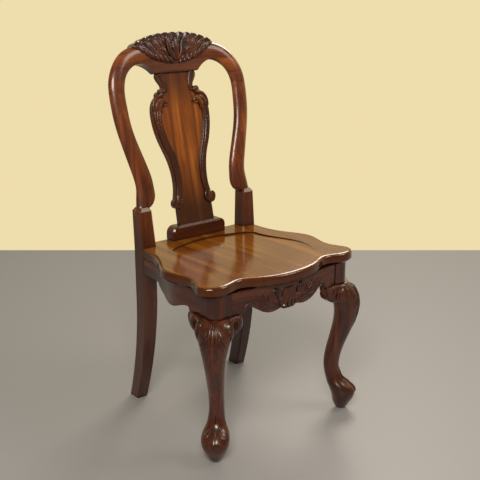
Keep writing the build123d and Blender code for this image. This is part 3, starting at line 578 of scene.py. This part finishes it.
# Shell of the crest: ribbed leaves rising to a scalloped top, a row of small tips along the
# lower edge, and a bud between two scrolls in the middle. It is cut in the crest rail.
crest_y, crest_z, crest_face = 0.202855, 0.850, 0.0012
shell_half, shell_ends, shell_rise, shell_drop = 129, 119, 29, 48
leaf_pitch = 23.45


def on_crest(across, up, height):
    """Lays a carving on the leaning face of the crest rail, measured from its joint."""
    joint = Vector((across, crest_y, crest_z))
    return joint + lean_up * up + lean_front * (crest_face + height)


def shell_top(across):
    return shell_ends + shell_rise * (1 - (across / shell_half) ** 2.6)


def shell_foot(across):
    return shell_ends - shell_drop * (1 - (across / shell_half) ** 2)


# Shell: the bud, and the middle leaf behind it.
shell = [
    [(0, 80, 3, 4), (0, 94, 9, 5), (0, 111, 12, 6), (0, 126, 10, 6), (0, 137, 4, 5)],
    [(0, 136, 4, -1), (0, 142, 11.5, -7), (0, 147.5, 8, -5.5)],
]
# On each side of the bud a scroll and a small leaf, then five leaves with two ribs each, and
# seven small tips along the lower edge.
leaves = [
    [(3, 78, 3, 4), (12, 88, 5.6, 7), (20, 101, 6.6, 9), (22, 115, 6.4, 10),
     (24, 128, 5.6, 10), (30, 135, 4.4, 9), (36, 130, 3.6, 8.5), (33, 123, 2.8, 8)],
    [(26, 93, 2.5, 3), (33, 102, 4.6, 4.4), (43, 107, 3.8, 4), (51, 106, 1.4, 3)],
]
for leaf in range(1, 6):
    tip_x = leaf_pitch * leaf
    tip_up = shell_top(tip_x)
    root_x = 0.45 * tip_x
    root_up = shell_foot(root_x)
    low_x, low_up = 0.62 * root_x + 0.38 * tip_x, 0.66 * root_up + 0.34 * tip_up
    high_x, high_up = 0.25 * root_x + 0.75 * tip_x, 0.3 * root_up + 0.7 * tip_up
    leaves.append([
        (root_x, root_up + 6, 4, -1),
        (low_x, low_up, 9.5, -5),
        (high_x, high_up, 12, -7),
        (tip_x, tip_up - 5, 11.5, -7),
        (1.01 * tip_x, tip_up - 0.5, 8, -5.5),
    ])
    for spread in (-0.22, 0.22):
        rib = spread * leaf_pitch
        leaves.append([
            (root_x + 0.4 * rib, root_up + 6, 2.4, 0),
            (low_x + 0.7 * rib, low_up, 4.6, -0.4),
            (high_x + rib, high_up, 5.4, -0.6),
            (tip_x + 0.9 * rib, tip_up - 5, 3.4, -1.2),
        ])
for tip in range(7):
    foot_x = 14 + 15 * tip
    foot_up = shell_foot(foot_x)
    leaves.append([
        (foot_x - 5, foot_up, 2, 0.5),
        (foot_x, foot_up + 3, 4.6, 1.5),
        (foot_x + 5, foot_up + 10, 3.6, 2.2),
        (foot_x + 9, foot_up + 17, 1.5, 1.2),
    ])
carve(
    "crest_shell", shell + both_sides(leaves), on_crest, carved_mahogany,
    flat=0.5, smoothing=8,
)


# Floor of the studio: a plain board in matt grey paint, which gives the eye an even tone with a
# soft shadow. Its far edge lies square to the camera.
view_turn = math.radians(-38.899)
floor_width, floor_depth = 6.0, 2.75
bpy.ops.object.select_all(action="DESELECT")
bpy.ops.mesh.primitive_plane_add(size=1.0, location=(0, 0, 0))
floor = bpy.context.object
floor.name = "floor"
bpy.ops.transform.resize(value=(floor_width, floor_depth, 1))
floor.rotation_euler = (0, 0, view_turn)
bpy.ops.object.transform_apply(location=True, rotation=True, scale=True)
floor_paint = bpy.data.materials.new("matt_floor_paint")
floor_paint.use_nodes = True
floor_shader = floor_paint.node_tree.nodes["Principled BSDF"]
floor_shader.inputs["Base Color"].default_value = colour("#949393")
floor_shader.inputs["Roughness"].default_value = 0.5
floor.data.materials.append(floor_paint)


# Light of the studio: a dim even surround, a large key panel above the camera, a weak one on its
# right, and one behind the chair on the right, as from a window. The camera sees a cream wall
# behind the floor, and the varnish mirrors it only on that side.
wall_way = (0.628, 0.778, 0)
surround_light, camera_light = 0.32, 0.95
panel_aim = Vector((0, 0, 0.5))
world = bpy.data.worlds.new("studio")
world.use_nodes = True
bpy.context.scene.world = world
studio = world.node_tree
studio.nodes.clear()
ray_kind = node(studio, "ShaderNodeLightPath")
heading = node(studio, "ShaderNodeTexCoord")
towards_wall = node(
    studio, "ShaderNodeVectorMath", [(0, heading, "Generated")], operation="DOT_PRODUCT",
)
towards_wall.inputs[1].default_value = wall_way
sheen = node(
    studio, "ShaderNodeMapRange", [("Value", towards_wall, "Value")],
    From_Min=0.1, From_Max=0.7, To_Min=0.2, To_Max=0.72,
)
# A Mix node of plain values takes them at sockets 2 and 3, and gives the mixture at 0.
unseen = node(studio, "ShaderNodeMix", [(0, ray_kind, "Is Glossy Ray"), (3, sheen, "Result")])
unseen.inputs[2].default_value = surround_light
glow = node(studio, "ShaderNodeMix", [(0, ray_kind, "Is Camera Ray"), (2, unseen, 0)])
glow.inputs[3].default_value = camera_light
seen = node(
    studio, "ShaderNodeMath", [(0, ray_kind, "Is Camera Ray"), (1, ray_kind, "Is Glossy Ray")],
    operation="MAXIMUM",
)
tint = node(studio, "ShaderNodeMix", [(0, seen, "Value")], data_type="RGBA")
tint.inputs[6].default_value = colour("#fffaf2")
tint.inputs[7].default_value = colour("#f4e2b1")
surround = node(studio, "ShaderNodeBackground", [("Color", tint, 2), ("Strength", glow, 0)])
node(studio, "ShaderNodeOutputWorld", [("Surface", surround, "Background")])
for name, place, size, watts in (
    ("key_panel", (-1.6, -1.8, 2.3), 1.1, 74),
    ("right_panel", (1.5, -1.3, 2.4), 1.0, 18),
    ("window_panel", (1.9, 1.1, 2.1), 1.1, 36),
):
    bpy.ops.object.light_add(type="AREA", location=place)
    panel = bpy.context.object
    panel.name = name
    panel.data.size = size
    panel.data.energy = watts
    panel.data.color = colour("#fff4e6")[:3]
    panel.rotation_euler = (panel_aim - Vector(place)).to_track_quat("-Z", "Y").to_euler()


# Camera: it stands at the photograph's angle, in front of the chair on its -X side and a little
# above the crest, with a lens that gives the photograph's frame.
view_tilt = math.radians(72.836)
bpy.ops.object.camera_add(
    location=(-1.33241, -1.70420, 1.13919), rotation=(view_tilt, 0, view_turn),
)
camera = bpy.context.object
camera.data.sensor_width = 36.0
camera.data.lens = 63.92
bpy.context.scene.camera = camera
bpy.context.scene.view_settings.view_transform = "Standard"
